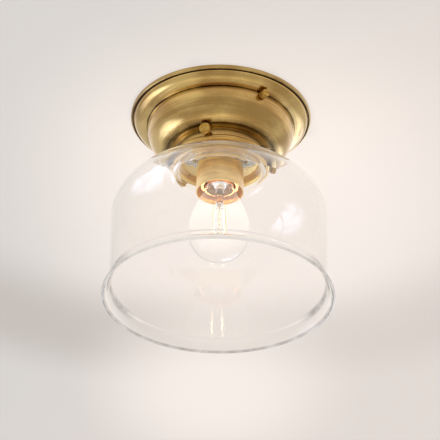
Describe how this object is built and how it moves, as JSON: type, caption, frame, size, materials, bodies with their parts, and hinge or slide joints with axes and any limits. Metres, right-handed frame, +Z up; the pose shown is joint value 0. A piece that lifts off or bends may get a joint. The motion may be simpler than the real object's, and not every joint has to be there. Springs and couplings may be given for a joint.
{
  "type": "ceiling light",
  "caption": "Flush ceiling light: stepped brass canopy, thumbscrew shade holder, screw-base lamp in a brass cup, and a clear bell glass shade with a flared lip.",
  "frame": {"origin": "centre of the ceiling plane, midway between the two box screws", "axes": "+Z up into the ceiling; +X along the line of the two box screws; the light hangs towards -Z"},
  "size_m": [0.2032, 0.2032, 0.191],
  "materials": {
    "aged_brass": "aged and brushed, with fine turning marks",
    "dark_brass": "aged, in shade",
    "clear_glass": "clear, blown, polished",
    "lamp_glass": "clear, thin",
    "zinc_steel": "zinc plated",
    "nickel": "nickel plated, soft shine",
    "glazed_white": "glazed porcelain",
    "black_insulation": "smooth",
    "white_insulation": "smooth",
    "green_insulation": "smooth",
    "orange_plastic": "moulded",
    "green_paint": "green dip over steel",
    "black_glass": "fused black glass",
    "solder": "dull solder",
    "lit_phosphor": "glowing when lit"
  },
  "bodies": {
    "ceiling_fitting": {"mounting_plate": "aged_brass", "canopy": "aged_brass", "shade_holder": "aged_brass", "thumb_bushes": "dark_brass", "socket_strap": "zinc_steel", "holder_screws": "nickel", "holder_nuts": "zinc_steel", "plain_washer": "zinc_steel", "socket_screws": "zinc_steel", "socket_cup": "aged_brass", "socket_body": "glazed_white", "screw_shell": "dark_brass", "centre_contact": "dark_brass", "contact_rivets": "dark_brass", "lead_ferrules": "dark_brass", "lead_black": "black_insulation", "lead_white": "white_insulation", "wire_connectors": "orange_plastic", "ground_screw": "green_paint", "ground_lugs": "zinc_steel", "ground_lead": "green_insulation"},
    "shade": {"glass_shade": "clear_glass"},
    "thumbscrew_1_stud": {"thumb_stud_1": "dark_brass"},
    "thumbscrew_1_knob": {"thumb_knob_1": "aged_brass"},
    "thumbscrew_2_stud": {"thumb_stud_2": "dark_brass"},
    "thumbscrew_2_knob": {"thumb_knob_2": "aged_brass"},
    "thumbscrew_3_stud": {"thumb_stud_3": "dark_brass"},
    "thumbscrew_3_knob": {"thumb_knob_3": "aged_brass"},
    "side_screw_1_stud": {"side_stud_1": "dark_brass"},
    "side_screw_1_knob": {"side_knob_1": "aged_brass"},
    "side_screw_2_stud": {"side_stud_2": "dark_brass"},
    "side_screw_2_knob": {"side_knob_2": "aged_brass"},
    "lamp_tip": {"bulb_tip": "solder"},
    "lamp": {"bulb_glass": "lamp_glass", "bulb_cap": "nickel", "bulb_insulator": "black_glass", "bulb_stem": "lamp_glass", "bulb_supports": "nickel", "bulb_filaments": "lit_phosphor"}
  },
  "joints": [
    {"name": "shade_lowers", "type": "slide", "parent": "ceiling_fitting", "child": "shade", "axis": [0, 0, -1], "range_m": [0, 0.02]},
    {"name": "thumbscrew_1_backs_out", "type": "slide", "parent": "ceiling_fitting", "child": "thumbscrew_1_stud", "axis": [0.9703, 0.2419, 0], "range_m": [0, 0.0061]},
    {"name": "thumbscrew_1_turns", "type": "hinge", "parent": "thumbscrew_1_stud", "child": "thumbscrew_1_knob", "pos_m": [0, 0, -0.04527], "axis": [0.9703, 0.2419, 0], "range_deg": [0, 2725]},
    {"name": "thumbscrew_2_backs_out", "type": "slide", "parent": "ceiling_fitting", "child": "thumbscrew_2_stud", "axis": [-0.6947, 0.7193, 0], "range_m": [0, 0.0061]},
    {"name": "thumbscrew_2_turns", "type": "hinge", "parent": "thumbscrew_2_stud", "child": "thumbscrew_2_knob", "pos_m": [0, 0, -0.04527], "axis": [-0.6947, 0.7193, 0], "range_deg": [0, 2725]},
    {"name": "thumbscrew_3_backs_out", "type": "slide", "parent": "ceiling_fitting", "child": "thumbscrew_3_stud", "axis": [-0.2756, -0.9613, 0], "range_m": [0, 0.0061]},
    {"name": "thumbscrew_3_turns", "type": "hinge", "parent": "thumbscrew_3_stud", "child": "thumbscrew_3_knob", "pos_m": [0, 0, -0.04527], "axis": [-0.2756, -0.9613, 0], "range_deg": [0, 2725]},
    {"name": "side_screw_1_backs_out", "type": "slide", "parent": "ceiling_fitting", "child": "side_screw_1_stud", "axis": [0.5373, -0.8434, 0], "range_m": [0, 0.006]},
    {"name": "side_screw_1_turns", "type": "hinge", "parent": "side_screw_1_stud", "child": "side_screw_1_knob", "pos_m": [0, 0, -0.0152], "axis": [0.5373, -0.8434, 0], "range_deg": [0, 2725]},
    {"name": "side_screw_2_backs_out", "type": "slide", "parent": "ceiling_fitting", "child": "side_screw_2_stud", "axis": [-0.5373, 0.8434, 0], "range_m": [0, 0.006]},
    {"name": "side_screw_2_turns", "type": "hinge", "parent": "side_screw_2_stud", "child": "side_screw_2_knob", "pos_m": [0, 0, -0.0152], "axis": [-0.5373, 0.8434, 0], "range_deg": [0, 2725]},
    {"name": "lamp_lowers", "type": "slide", "parent": "ceiling_fitting", "child": "lamp_tip", "axis": [0, 0, -1], "range_m": [0, 0.016]},
    {"name": "lamp_turns", "type": "hinge", "parent": "lamp_tip", "child": "lamp", "pos_m": [0, 0, -0.06], "axis": [0, 0, -1], "range_deg": [0, 1590]}
  ],
  "couplings": [
    {"joint": "thumbscrew_1_backs_out", "follows": "shade_lowers", "ratio": 0.3},
    {"joint": "thumbscrew_1_turns", "follows": "shade_lowers", "rad_per_m": 2374.7},
    {"joint": "thumbscrew_2_backs_out", "follows": "shade_lowers", "ratio": 0.3},
    {"joint": "thumbscrew_2_turns", "follows": "shade_lowers", "rad_per_m": 2374.7},
    {"joint": "thumbscrew_3_backs_out", "follows": "shade_lowers", "ratio": 0.3},
    {"joint": "thumbscrew_3_turns", "follows": "shade_lowers", "rad_per_m": 2374.7},
    {"joint": "side_screw_1_turns", "follows": "side_screw_1_backs_out", "rad_per_m": 7915.8},
    {"joint": "side_screw_2_turns", "follows": "side_screw_2_backs_out", "rad_per_m": 7915.8},
    {"joint": "lamp_turns", "follows": "lamp_lowers", "rad_per_m": 1730.9}
  ]
}
